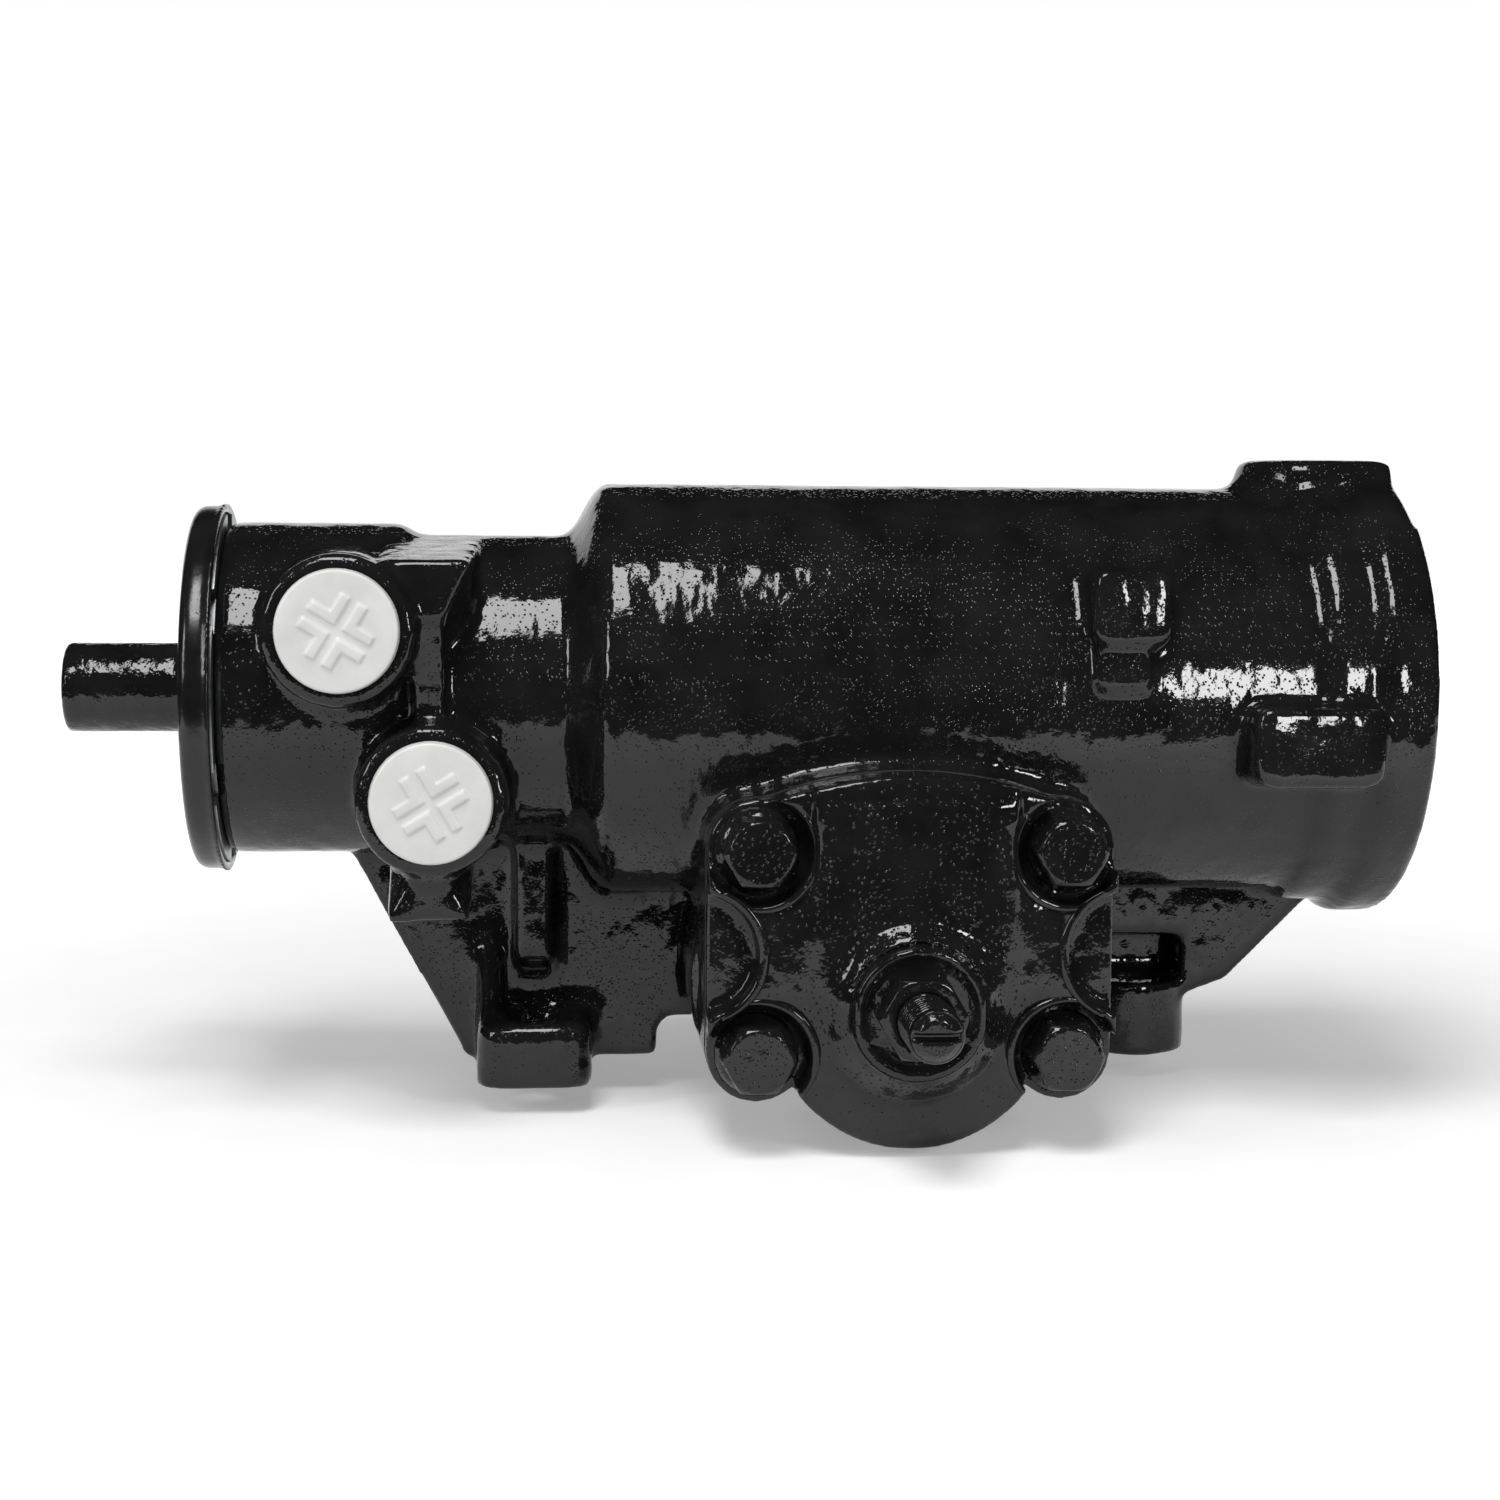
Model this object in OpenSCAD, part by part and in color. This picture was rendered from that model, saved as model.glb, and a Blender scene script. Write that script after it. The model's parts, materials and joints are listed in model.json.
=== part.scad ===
// Power steering gearbox of the recirculating-ball kind, with a rotary valve on the input shaft.
// Frame: origin on the sector shaft axis at the middle of the pitman arm seat, +X towards the
// rear end of the cylinder, +Y out of the pitman side, +Z up from the sector shaft to the worm.

/* [Drive] */
// Distance from the sector shaft axis up to the worm axis
centre_distance = 64; // [63:0.5:66]
// Pitch radius of the sector teeth
sector_pitch_r = 33; // [32.5:0.1:33.5]
// Module of the rack and sector teeth
tooth_module = 7; // [6.6:0.1:7.2]
// Pressure angle of the rack teeth
pressure_angle = 25; // [24.5:0.5:27]
// Turns of the worm for one turn of the sector shaft
steer_ratio = 14; // [13.5:0.5:15]
// Swing of the sector shaft to each side
sector_swing = 43; // [38:1:44]
// Width of the sector teeth along their shaft
sector_face = 40; // [36:1:42]
// Diameter of the balls between worm and rack
ball_d = 7.14; // [6.8:0.02:7.3]
// Radius of the circle that the ball centres run on
ball_circle_r = 14; // [13.6:0.1:14.4]

/* [Cylinder] */
// Bore of the power cylinder
bore_d = 80; // [79:0.5:82]
// Wall of the cylinder barrel
barrel_wall = 7.7; // [7:0.1:9]
// Sector axis to the front end of the rack piston
piston_front = 35; // [34:0.5:38]
// Sector axis to the rear end of the rack piston
piston_rear = 74; // [72:0.5:78]
// Wall between the cylinder and the valve chamber
front_wall = 11; // [9:0.5:14]
// Diameter of the plug that closes the rear end
end_plug_d = 90; // [88:0.5:91]
// Thickness of the end plug
end_plug_t = 9; // [8:0.5:11]

/* [Valve] */
// Bore of the valve chamber
valve_bore_d = 44; // [43:0.5:46]
// Outside diameter of the valve end of the housing
valve_od = 76.4; // [75:0.2:79]
// Outside diameter of the waist between valve end and barrel
waist_od = 71.2; // [69:0.2:73]
// Length of the valve sleeve
sleeve_l = 37; // [35:0.5:41]
// Depth of the adjuster plug in the housing
plug_depth = 25; // [24:0.5:28]
// Thread diameter of the adjuster plug
plug_thread_d = 66; // [64:0.5:67]
// Diameter of the input shaft
input_d = 20.6; // [19:0.1:21]
// Length of input shaft that stands out of the dust cap
input_out = 30; // [24:0.5:40]
// Diameter of the torsion bar at its ends
torsion_end_d = 9; // [8:0.1:9.6]
// Outside diameter of the dust cap
cap_d = 83.8; // [82.5:0.1:86]

/* [Sector shaft] */
// Diameter of the output journal
journal_d = 34.9; // [33:0.1:36]
// Diameter of the trunnion in the side cover
trunnion_d = 34; // [32:0.5:35]
// Worm axis plane to the middle of the pitman arm seat
pitman_reach = 105; // [104:0.5:112]
// Length of the pitman arm seat
seat_l = 30; // [26:1:32]
// Large diameter of the pitman arm seat
seat_d = 33; // [31:0.2:33.4]
// Thread diameter at the free end
end_thread_d = 22; // [20:0.5:24]

/* [Side cover] */
// Worm axis plane to the housing face that carries the cover
flange_reach = 52; // [51:0.5:56]
// Wall of the sector chamber to the axes of the upper cover bolts
bolt_margin = 6.2; // [6:0.1:8]
// Lower cover bolts below the sector axis
bolt_down = 11; // [11:0.2:13]
// Diameter of the cover bolts
bolt_d = 9.5; // [8:0.1:9.8]
// Thickness of the cover at its edge
cover_edge_t = 6; // [5:0.5:8]
// Diameter of the lash adjuster screw
lash_d = 12; // [10:0.2:12.4]
// Thickness of the gasket under the cover
gasket_t = 0.8; // [0.5:0.1:1.5]

/* [Ports and feet] */
// Diameter of the hose ports
port_d = 18; // [16:0.2:19]
// Worm axis plane to the port faces
port_reach = 50; // [48:0.5:54]
// Front end of the housing back to the pressure port
pressure_port_back = 27.8; // [27:0.2:30]
// Pressure port above the worm axis
pressure_port_up = 15.7; // [15:0.1:17]
// Front end of the housing back to the return port
return_port_back = 47.6; // [47:0.2:49]
// Return port below the worm axis
return_port_drop = 21.3; // [20.5:0.1:22]
// Diameter of the transit plug heads
plug_head_d = 27; // [25:0.2:29]
// Diameter of the mounting holes
foot_hole_d = 11.5; // [10:0.1:12.5]
// Sector axis down to the mounting face
foot_drop = 27; // [26:0.5:29]
// Radius of the mounting bosses
foot_r = 13.3; // [12.5:0.1:15]

/* [Hidden] */
$fn = 64;
// Running clearance on the radius of shafts and bushes
running = 0.05;
// Gap between a piece and the seat it is pressed or screwed into
seated = 0.04;
// Gap between faces that turn on each other
face_gap = 0.1;

// Travel and lead that follow from the mesh of rack and sector
tooth_pitch = PI * tooth_module;
pitch_angle = 360 * tooth_pitch / (2 * PI * sector_pitch_r);
worm_lead = 2 * PI * sector_pitch_r / steer_ratio;
rack_travel = sector_pitch_r * sector_swing * PI / 180;
stroke_gap = 1.2;
sector_addendum = 0.9 * tooth_module;
rack_addendum = 0.8 * tooth_module;
root_gap = 1.2;
sector_tip_r = sector_pitch_r + sector_addendum;
sector_root_r = sector_pitch_r - rack_addendum - root_gap;
rack_line = centre_distance - sector_pitch_r;
tooth_lash = 0.25;

// Places along the worm axis, measured from the sector axis: forward ones end in _front
bore_r = bore_d / 2;
barrel_r = bore_r + barrel_wall;
bore_front = piston_front + rack_travel + stroke_gap;
bore_rear = piston_rear + rack_travel + stroke_gap;
valve_floor = bore_front + front_wall;
thrust_t = 5;
worm_flange_t = 7;
flange_front = valve_floor + thrust_t + face_gap + worm_flange_t;
sleeve_front = flange_front + sleeve_l;
plug_inner = sleeve_front + face_gap + thrust_t;
valve_front = plug_inner + plug_depth;
lock_nut_t = 5;
nut_front = valve_front + lock_nut_t;
cap_wall = 1.6;
cap_front = nut_front + 0.7 + cap_wall;
input_tip = cap_front + input_out;
waist_front = valve_front - 38.5;
waist_rear = bore_front + 14;
rim_depth = 18.5;
rear_end = bore_rear + rim_depth;

// Valve pieces
valve_r = valve_od / 2;
waist_r = waist_od / 2;
valve_bore_r = valve_bore_d / 2;
plug_thread_r = plug_thread_d / 2;
input_r = input_d / 2;
guide_shaft_r = input_r - 0.6;
input_pin_front = nut_front - 13.5;
spool_r = 15;
pilot_r = 9;
pilot_l = 6;
torsion_r = torsion_end_d / 2;
guide_bearing_r = guide_shaft_r + running + 3.5;
guide_bearing_l = 11;
input_seal_r = guide_bearing_r + 2;
input_seal_l = 8;
sleeve_gap = 0.3;
ring_count = 4;
ring_lead = 2.2;
ring_groove_w = 2.4;
ring_side_gap = 0.2;
ring_step = (sleeve_l - 2 * ring_lead + ring_groove_w) / ring_count;

// Worm and balls
ball_r = ball_d / 2;
track_r = ball_r + 0.1;
worm_r = ball_circle_r - 0.6;
core_r = ball_circle_r - track_r - 0.3;
nut_bore_r = ball_circle_r + 0.9;
circuit_turns = 2;
circuit_start = -22;
circuit_angle = 90;
worm_rear = circuit_start + circuit_turns * worm_lead + rack_travel + 5;
track_front = -circuit_start + rack_travel + 6;
helix_steps = 24;

// Rack piston
piston_r = bore_r - 0.08;
ring_groove = 3.4;
ring_rear = 3.6;
rack_plug_l = 10;
rack_plug_r = 18;
pocket_floor = 26;
guide_r = 4.6;
guide_run = pocket_floor + guide_r + 0.05;

// Sector shaft and its bearings, along Y from the worm axis plane
journal_r = journal_d / 2;
trunnion_r = trunnion_d / 2;
trunnion_front = flange_reach - 2;
chamber_r = sector_tip_r + 1.9;
chamber_back = sector_face / 2 + 4;
hub_clear_r = sector_root_r + 1.3;
chamber_drop = 4.5;
tube_r = 30;
tube_nose_r = 27.5;
tube_end = pitman_reach - seat_l / 2 - 6;
bearing_front = chamber_back + 10;
bearing_l = 30;
bearing_r = journal_r + 4.5;
seal_front = bearing_front + bearing_l;
seal_l = 10;
seal_r = bearing_r + 1;
snap_t = 2;
snap_depth = 1.6;
seat_front = pitman_reach - seat_l / 2;
seat_rear = pitman_reach + seat_l / 2;
seat_taper = 1.5;
thread_l = 22;
arm_nut_t = 16;
arm_nut_af = 34;
arm_washer_t = 4;

// Side cover, along -Y from the worm axis plane
bolt_x = (chamber_r + bolt_margin) / sqrt(2);
bolt_up = bolt_x;
ear_r = 10.8;
cover_reach = flange_reach + gasket_t;
belly_r = sector_root_r + 5.2;
flange_side = bolt_x + ear_r;
flange_t = 22;
crown_r = 88;
crown_top = bolt_up + ear_r + 5.7;
crown_rise = 4.5;
cover_body_t = 11.5;
cover_dome_t = 17;
cover_boss_t = 20;
boss_r = 14.6;
boss_recess_r = 12.3;
boss_recess = 1.5;
spot_r = 11.4;
pad_half = 22;
cover_pad_t = 13.6;
scallop_r = 13.4;
scallop_x = flange_side + 2.6;
scallop_z = (bolt_up - bolt_down) / 2;
spigot_r = hub_clear_r - 1.5;
bush_wall = 3;
bush_front = flange_reach + 2;
lash_r = lash_d / 2;
lash_out = 24;
lash_head_r = 10;
lash_head_t = 4.5;
lash_neck = 5;
lash_nut_af = 17;
lash_nut_t = 9;
bolt_r = bolt_d / 2;
bolt_af = 14.3;
bolt_flange_r = 9.5;
bolt_flange_t = 2.2;
bolt_head_t = 9;
bolt_grip = 16;

// Ports: place of each as forward of the sector axis and above the worm axis
ports = [
    [valve_front - pressure_port_back, pressure_port_up],
    [valve_front - return_port_back, -return_port_drop]
];
port_boss_r = 16.5;
port_depth = 16;
passage_r = 4;
flare_r = 6;
flare_t = 6;
port_r = port_d / 2;
plug_head_r = plug_head_d / 2;
plug_head_t = 2.4;
plug_shank = 7;

// Feet: place of each along X and from the worm axis plane along Y, with its height
feet = [[-81.2, -8.5, 15], [-81.2, 48, 15], [67, 20, 18]];
web_t = 12;
rear_web_t = 22;
rear_web_back = 34;

// Helpers that set pieces on the two axes
module at_worm() {
    translate([0, -pitman_reach, centre_distance]) children();
}
module along_worm(x) {
    at_worm() translate([x, 0, 0]) rotate([0, 90, 0]) children();
}
module along_sector(y) {
    translate([0, y - pitman_reach, 0]) rotate([-90, 0, 0]) children();
}
module facing(reach) {
    translate([0, -reach - pitman_reach, 0]) rotate([90, 0, 0]) children();
}
module tube(outer, inner, length) {
    difference() {
        cylinder(r = outer, h = length);
        translate([0, 0, -1]) cylinder(r = inner, h = length + 2);
    }
}
module o_ring(centre_r, section_r) {
    rotate_extrude() translate([centre_r, 0]) circle(r = section_r, $fn = 24);
}
module hexagon(across_flats, height) {
    cylinder(r = across_flats / sqrt(3), h = height, $fn = 6);
}
module at_bolts() {
    for (side = [-1, 1], z = [bolt_up, -bolt_down]) translate([side * bolt_x, z]) children();
}
module rounded(width, height, corner) {
    translate([corner, 0]) square([width - 2 * corner, height]);
    translate([0, corner]) square([width, height - 2 * corner]);
    for (x = [corner, width - corner], y = [corner, height - corner]) translate([x, y]) circle(r = corner);
}
// Points of a quarter round from a flat end face to the side of a turned piece
function turned_edge(radius, edge) = [
    for (i = [0 : 4]) [radius - edge + edge * sin(i * 22.5), edge - edge * cos(i * 22.5)]
];

// Points of a smooth step in radius between two places along an axis
function smooth(x0, x1, r0, r1, count = 7) = [
    for (i = [0 : count])
        [r0 + (r1 - r0) * (0.5 - 0.5 * cos(180 * i / count)), x0 + (x1 - x0) * i / count]
];
// A point on the right-hand helix of the ball track
function helix(angle, radius, offset_x = 0) = [
    circuit_start + worm_lead * (angle - circuit_angle) / 360 + offset_x,
    radius * cos(angle),
    radius * sin(angle)
];
// Faces of a tube of rings, with the two end rings as caps
function ring_faces(rings, sides) = concat(
    [[for (j = [sides - 1 : -1 : 0]) j]],
    [for (i = [0 : rings - 2], j = [0 : sides - 1])
        let (k = (j + 1) % sides)
            [i * sides + k, (i + 1) * sides + k, (i + 1) * sides + j, i * sides + j]],
    [[for (j = [0 : sides - 1]) (rings - 1) * sides + j]]
);
// Involute of the sector tooth flank, as half thickness in degrees at a radius
function involute(angle) = tan(angle) * 180 / PI - angle;
function half_tooth(radius) =
    let (base_r = sector_pitch_r * cos(pressure_angle))
    let (at_pitch = pitch_angle / 4 - tooth_lash / 2 / sector_pitch_r * 180 / PI)
        at_pitch + involute(pressure_angle) - involute(acos(min(1, base_r / radius)));
function polar(radius, angle) = [radius * sin(angle), radius * cos(angle)];

// Ball track shapes: the ridge left between the tracks of the worm, and the track cut in the nut
module worm_ridge(front, rear) {
    first = circuit_angle + 360 * (-front - circuit_start) / worm_lead;
    last = circuit_angle + 360 * (rear - circuit_start) / worm_lead - 360;
    top = acos((ball_circle_r - worm_r) / track_r);
    flank = [for (t = [12, 34, 56, top]) [track_r * sin(t), ball_circle_r - track_r * cos(t)]];
    foot = [flank[0][0], core_r - 1.5];
    half = concat([foot], flank);
    outline = concat(half, [for (i = [len(half) - 1 : -1 : 0]) [worm_lead - half[i][0], half[i][1]]]);
    rings = ceil((last - first) / 360 * helix_steps) + 1;
    points = [
        for (i = [0 : rings - 1], p = outline)
            helix(first + (last - first) * i / (rings - 1), p[1], p[0])
    ];
    polyhedron(points, ring_faces(rings, len(outline)), convexity = 10);
}
module nut_track() {
    sides = 8;
    lead_in = 7;
    rings = circuit_turns * helix_steps + 1;
    sweep = (360 * circuit_turns + 2 * lead_in) / (rings - 1);
    points = [
        for (i = [0 : rings - 1], j = [0 : sides - 1])
            let (t = 360 * (j + 0.5) / sides, r = (track_r + 0.15) / cos(180 / sides))
                helix(circuit_angle - lead_in + sweep * i, ball_circle_r + r * cos(t), r * sin(t))
    ];
    polyhedron(points, ring_faces(rings, sides), convexity = 10);
}

// Outlines seen along the sector shaft, with the sector axis at the middle
module chamber_outline(grow) {
    intersection() {
        circle(r = chamber_r + grow);
        translate([-100, -chamber_drop - grow]) square([200, 200]);
    }
    circle(r = hub_clear_r + grow);
}
module flange_outline() {
    circle(r = belly_r);
    at_bolts() circle(r = ear_r);
    translate([-flange_side, -bolt_down]) square([2 * flange_side, bolt_up + bolt_down]);
    intersection() {
        translate([-bolt_x, 0]) square([2 * bolt_x, crown_top]);
        translate([0, crown_top - crown_r]) circle(r = crown_r);
    }
}
module sector_outline() {
    base_r = sector_pitch_r * cos(pressure_angle);
    radii = [for (i = [0 : 6]) base_r + (sector_tip_r - base_r) * i / 6];
    foot = polar(sector_root_r - 1, half_tooth(base_r) - 1.5);
    side = concat([foot], [for (r = radii) polar(r, half_tooth(r))]);
    tooth = concat(side, [for (i = [len(side) - 1 : -1 : 0]) [-side[i][0], side[i][1]]]);
    circle(r = sector_root_r);
    for (i = [-1 : 1]) rotate(i * pitch_angle) polygon(tooth);
}
module rack_space() {
    deep = sector_addendum + root_gap;
    out = bore_r - rack_line + 1;
    half = (tooth_pitch + tooth_lash) / 4;
    slope = tan(pressure_angle);
    polygon([
        [-half + deep * slope, -rack_line + deep], [half - deep * slope, -rack_line + deep],
        [half + out * slope, -rack_line - out], [-half - out * slope, -rack_line - out]
    ]);
}

// Cast housing, in its outer forms and then its hollows
module barrel_form() {
    ring_r = barrel_r + 2.7;
    rim_r = barrel_r + 5.4;
    edge = 1.2;
    profile = concat(
        [[0, -valve_front], [valve_r - edge, -valve_front], [valve_r, -valve_front + edge]],
        smooth(-waist_front, -waist_front + 6, valve_r, waist_r, 4),
        smooth(-waist_rear, -bore_front - 3.5, waist_r, barrel_r),
        smooth(rear_end - 25.5, rear_end - 21.5, barrel_r, ring_r, 4),
        smooth(rear_end - 13.5, rear_end - 10, ring_r, rim_r, 4),
        [[rim_r, rear_end - edge], [rim_r - edge, rear_end], [0, rear_end]]
    );
    along_worm(0) rotate_extrude($fn = 96) polygon(profile);
}
module valve_bosses() {
    lug_w = 18.4;
    lug_x = 47 - valve_front;
    lug_reach = 46;
    for (port = ports)
        at_worm() translate([-port[0], 0, port[1]]) rotate([90, 0, 0])
            cylinder(r1 = port_boss_r + 2, r2 = port_boss_r, h = port_reach);
    for (side = [1, -1]) {
        near = side > 0 ? 30.7 : 48;
        far = side > 0 ? 18.3 : 37;
        root = side > 0 ? waist_r - 0.5 : 44;
        root_w = side > 0 ? lug_w + 4 : lug_w + 1;
        at_worm() translate([lug_x, 0, 0]) hull() {
            translate([0, -lug_reach + 1, 0]) rotate([90, 0, 0]) linear_extrude(1) polygon([
                [-lug_w / 2, side * near], [lug_w / 2, side * near], [3.2, side * far], [-3.2, side * far]
            ]);
            translate([0, -6, 0]) rotate([90, 0, 0]) linear_extrude(1) polygon([
                [-root_w / 2, side * root], [root_w / 2, side * root], [8, 0], [-8, 0]
            ]);
        }
    }
    at_worm() translate([lug_x - 3.2, 0, 0]) rotate([90, 0, 90]) linear_extrude(6.4)
        polygon([[-lug_reach + 1, 19], [-lug_reach + 6, -4], [-20, -4], [-20, 24]]);
}
module barrel_bosses() {
    pad_top = barrel_r + 6.9;
    pad_l = 33;
    pad_r = 17;
    at_worm() {
        translate([rear_end - pad_l + pad_r, 0, 20]) linear_extrude(pad_top - 20) {
            circle(r = pad_r);
            translate([0, -pad_r]) square([pad_l - pad_r, 2 * pad_r]);
        }
        translate([rear_end - 43, -30, -18]) rotate([90, 0, 0]) linear_extrude(28) rounded(30, 18, 4);
        translate([40.5, -30, 13.7]) rotate([90, 0, 0]) linear_extrude(22) rounded(17.6, 15.8, 2.5);
        translate([42, -30, 3]) rotate([90, 0, 0]) linear_extrude(20) rounded(12, 14, 2.5);
    }
}
module sector_form() {
    facing(-chamber_back - 8) linear_extrude(chamber_back + 8 + flange_reach - 16) chamber_outline(5.3);
    facing(flange_reach - flange_t) linear_extrude(flange_t) flange_outline();
    facing(flange_reach - flange_t) intersection() {
        translate([0, crown_top - crown_r, 0])
            cylinder(r1 = crown_r + crown_rise, r2 = crown_r, h = flange_t - 1);
        translate([-bolt_x - 4, 0, 0]) cube([2 * bolt_x + 8, 2 * crown_top, flange_t - 1]);
    }
    along_sector(0) cylinder(r = tube_r, h = seal_front);
    along_sector(seal_front) cylinder(r1 = tube_r, r2 = tube_nose_r, h = tube_end - seal_front);
}
module front_web_outline() {
    bottom = -foot_drop + 3;
    notch_x = -48;
    notch_r = 4;
    notch_z = -18.6;
    difference() {
        polygon([
            [-124.2, centre_distance - 38], [-97.2, bottom], [-36, bottom], [-36, centre_distance - 30],
            [-80, centre_distance - 20]
        ]);
        translate([notch_x, notch_z]) circle(r = notch_r);
        translate([notch_x - notch_r, bottom - 1]) square([40, notch_z - bottom + 1]);
        translate([notch_x, bottom - 1]) square([40, notch_z + notch_r - bottom + 1]);
    }
}
module foot_block(place, front) {
    translate([place[0] - foot_r, place[1] - pitman_reach - foot_r, -foot_drop]) linear_extrude(place[2])
        rounded(2 * foot_r, 2 * foot_r + front, 5.5);
}
module gusset(x, thickness, profile) {
    translate([x, -pitman_reach, 0]) rotate([90, 0, 90]) linear_extrude(thickness) polygon(profile);
}
module feet_form() {
    near = feet[0];
    far = feet[1];
    rear = feet[2];
    top = near[2] - foot_drop;
    side = foot_r - 0.6;
    wall = 5;
    rib_w = 9;
    facing(-web_t) linear_extrude(web_t) front_web_outline();
    foot_block(near, 4);
    gusset(near[0] - side, wall, [[near[1] - 8, top - 1], [2, top - 1], [2, top + 20]]);
    gusset(near[0] - rib_w / 2, rib_w, [[-7, top + 4], [2, top - 2], [8, 34], [-7, 34]]);
    foot_block(far, 0);
    for (x = [far[0] - side, far[0] + side - wall])
        gusset(x, wall, [
            [web_t - 1, -foot_drop + 2], [far[1] + 6, -foot_drop + 2], [far[1] + 6, top], [web_t - 1, 24]
        ]);
    translate([rear[0], rear[1] - pitman_reach, -foot_drop]) cylinder(r = foot_r, h = rear[2]);
    facing(-rear_web_back) linear_extrude(rear_web_t) polygon([
        [40, centre_distance - 30], [40, -10], [rear[0] + 6, rear[2] - foot_drop - 6], [rear[0] + 22.5, -9],
        [rear_end - 7.5, 12.5], [rear_end - 7.5, centre_distance - 40]
    ]);
}
module feet_hollows() {
    head_room = 11;
    for (place = feet) translate([place[0], place[1] - pitman_reach, -foot_drop - 1]) {
        cylinder(r = foot_hole_d / 2, h = place[2] + 2);
        translate([0, 0, place[2] + 1]) cylinder(r = foot_hole_d / 2 + 2.2, h = head_room);
    }
    translate([feet[2][0] - 11, feet[2][1] - pitman_reach - 20, feet[2][2] - foot_drop])
        cube([22, 29, head_room]);
}
module bore_hollows() {
    along_worm(-bore_front) cylinder(r = bore_r, h = bore_front + bore_rear + 1, $fn = 96);
    along_worm(bore_rear) cylinder(r = end_plug_d / 2, h = rim_depth + 1, $fn = 96);
    along_worm(bore_rear + end_plug_t) cylinder(r = end_plug_d / 2 + snap_depth, h = snap_t + 2 * face_gap);
    along_worm(-valve_floor - 1) cylinder(r = worm_r + 1.6, h = front_wall + 2);
    along_worm(-plug_inner - 1) cylinder(r = valve_bore_r, h = plug_inner - valve_floor + 1);
    along_worm(-valve_front - 1) cylinder(r = plug_thread_r + seated, h = plug_depth + 1);
}
module sector_hollows() {
    facing(-chamber_back) linear_extrude(chamber_back + flange_reach + 1) chamber_outline(0);
    along_sector(0) cylinder(r = journal_r + 0.8, h = tube_end + 1);
    along_sector(bearing_front) cylinder(r = bearing_r, h = tube_end);
    along_sector(seal_front) cylinder(r = seal_r, h = tube_end);
    along_sector(seal_front + seal_l + face_gap) cylinder(r = seal_r + snap_depth, h = snap_t + 2 * face_gap);
    facing(flange_reach - bolt_grip - 1) linear_extrude(bolt_grip + 2) at_bolts() circle(r = bolt_r + seated);
}
module port_hollows() {
    for (port = ports) at_worm() translate([-port[0], 0, port[1]]) rotate([90, 0, 0]) {
        translate([0, 0, port_reach - port_depth]) cylinder(r = port_r, h = port_depth + 1);
        cylinder(r = passage_r, h = port_reach);
    }
}
module housing() {
    color("#101010") difference() {
        union() {
            barrel_form();
            valve_bosses();
            barrel_bosses();
            sector_form();
            feet_form();
        }
        bore_hollows();
        sector_hollows();
        port_hollows();
        feet_hollows();
    }
}

// Side cover and what it carries
module side_cover() {
    color("#121212") difference() {
        union() {
            facing(cover_reach) linear_extrude(cover_edge_t) flange_outline();
            facing(cover_reach) linear_extrude(cover_body_t) difference() {
                flange_outline();
                for (side = [-1, 1]) translate([side * scallop_x, scallop_z]) circle(r = scallop_r);
            }
            facing(cover_reach) linear_extrude(cover_pad_t) intersection() {
                flange_outline();
                translate([-pad_half, 0]) square([2 * pad_half, 2 * crown_top]);
            }
            facing(cover_reach + 2) cylinder(r1 = belly_r - 1, r2 = boss_r + 1, h = cover_dome_t - 2);
            facing(cover_reach) cylinder(r = boss_r, h = cover_boss_t);
            along_sector(-cover_reach - 1) cylinder(r = spigot_r, h = cover_reach - sector_face / 2 - 1);
        }
        facing(0) cylinder(r = trunnion_r + bush_wall + seated, h = bush_front);
        facing(0) cylinder(r = lash_r + seated, h = 2 * cover_reach);
        facing(cover_reach + cover_boss_t - boss_recess) cylinder(r = boss_recess_r, h = 10);
        facing(flange_reach) linear_extrude(2 * cover_body_t) at_bolts() circle(r = bolt_r + seated);
        facing(cover_reach + cover_edge_t) linear_extrude(2 * cover_body_t) at_bolts() circle(r = spot_r);
    }
}
module cover_gasket() {
    color("#2b2a28") facing(flange_reach) linear_extrude(gasket_t) difference() {
        flange_outline();
        chamber_outline(0);
        at_bolts() circle(r = bolt_r + 0.3);
    }
}
module cover_bush() {
    color("#b08d57") along_sector(-bush_front)
        tube(trunnion_r + bush_wall, trunnion_r + running, bush_front - sector_face / 2 - 3);
}
module cover_bolts() {
    shank = cover_edge_t + gasket_t + bolt_grip;
    color("#141414") facing(cover_reach + cover_edge_t) at_bolts() {
        cylinder(r1 = bolt_flange_r, r2 = bolt_flange_r - 1.4, h = bolt_flange_t);
        intersection() {
            hexagon(bolt_af, bolt_head_t);
            cylinder(r1 = bolt_af / 2 + bolt_head_t, r2 = bolt_af / 2 - 0.4, h = bolt_head_t);
        }
        translate([0, 0, -shank]) cylinder(r = bolt_r, h = shank + 1);
    }
}
module lash_screw() {
    head = trunnion_front - lash_neck - lash_head_t;
    tip = cover_reach + cover_boss_t + lash_out;
    nut_face = cover_reach + cover_boss_t - boss_recess + lash_nut_t;
    root_r = lash_r - 0.7;
    chamfer = 1.6;
    slot_w = 1.8;
    color("#1a1a1a") difference() {
        union() {
            facing(head) cylinder(r = lash_head_r, h = lash_head_t);
            facing(head) cylinder(r = lash_r, h = nut_face - head);
            facing(nut_face - 1) cylinder(r = root_r, h = tip - chamfer - nut_face + 1);
            facing(tip - chamfer) cylinder(r1 = root_r, r2 = root_r - chamfer, h = chamfer);
        }
        facing(tip - 2) translate([-lash_r - 1, -slot_w / 2, 0]) cube([lash_d + 2, slot_w, 3]);
    }
}
module lash_nut() {
    color("#161616") facing(cover_reach + cover_boss_t - boss_recess) difference() {
        intersection() {
            hexagon(lash_nut_af, lash_nut_t);
            cylinder(r1 = lash_nut_af / 2 + 8, r2 = lash_nut_af / 2 + 0.2, h = lash_nut_t);
        }
        translate([0, 0, -1]) cylinder(r = lash_r + seated, h = lash_nut_t + 2);
    }
}

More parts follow.
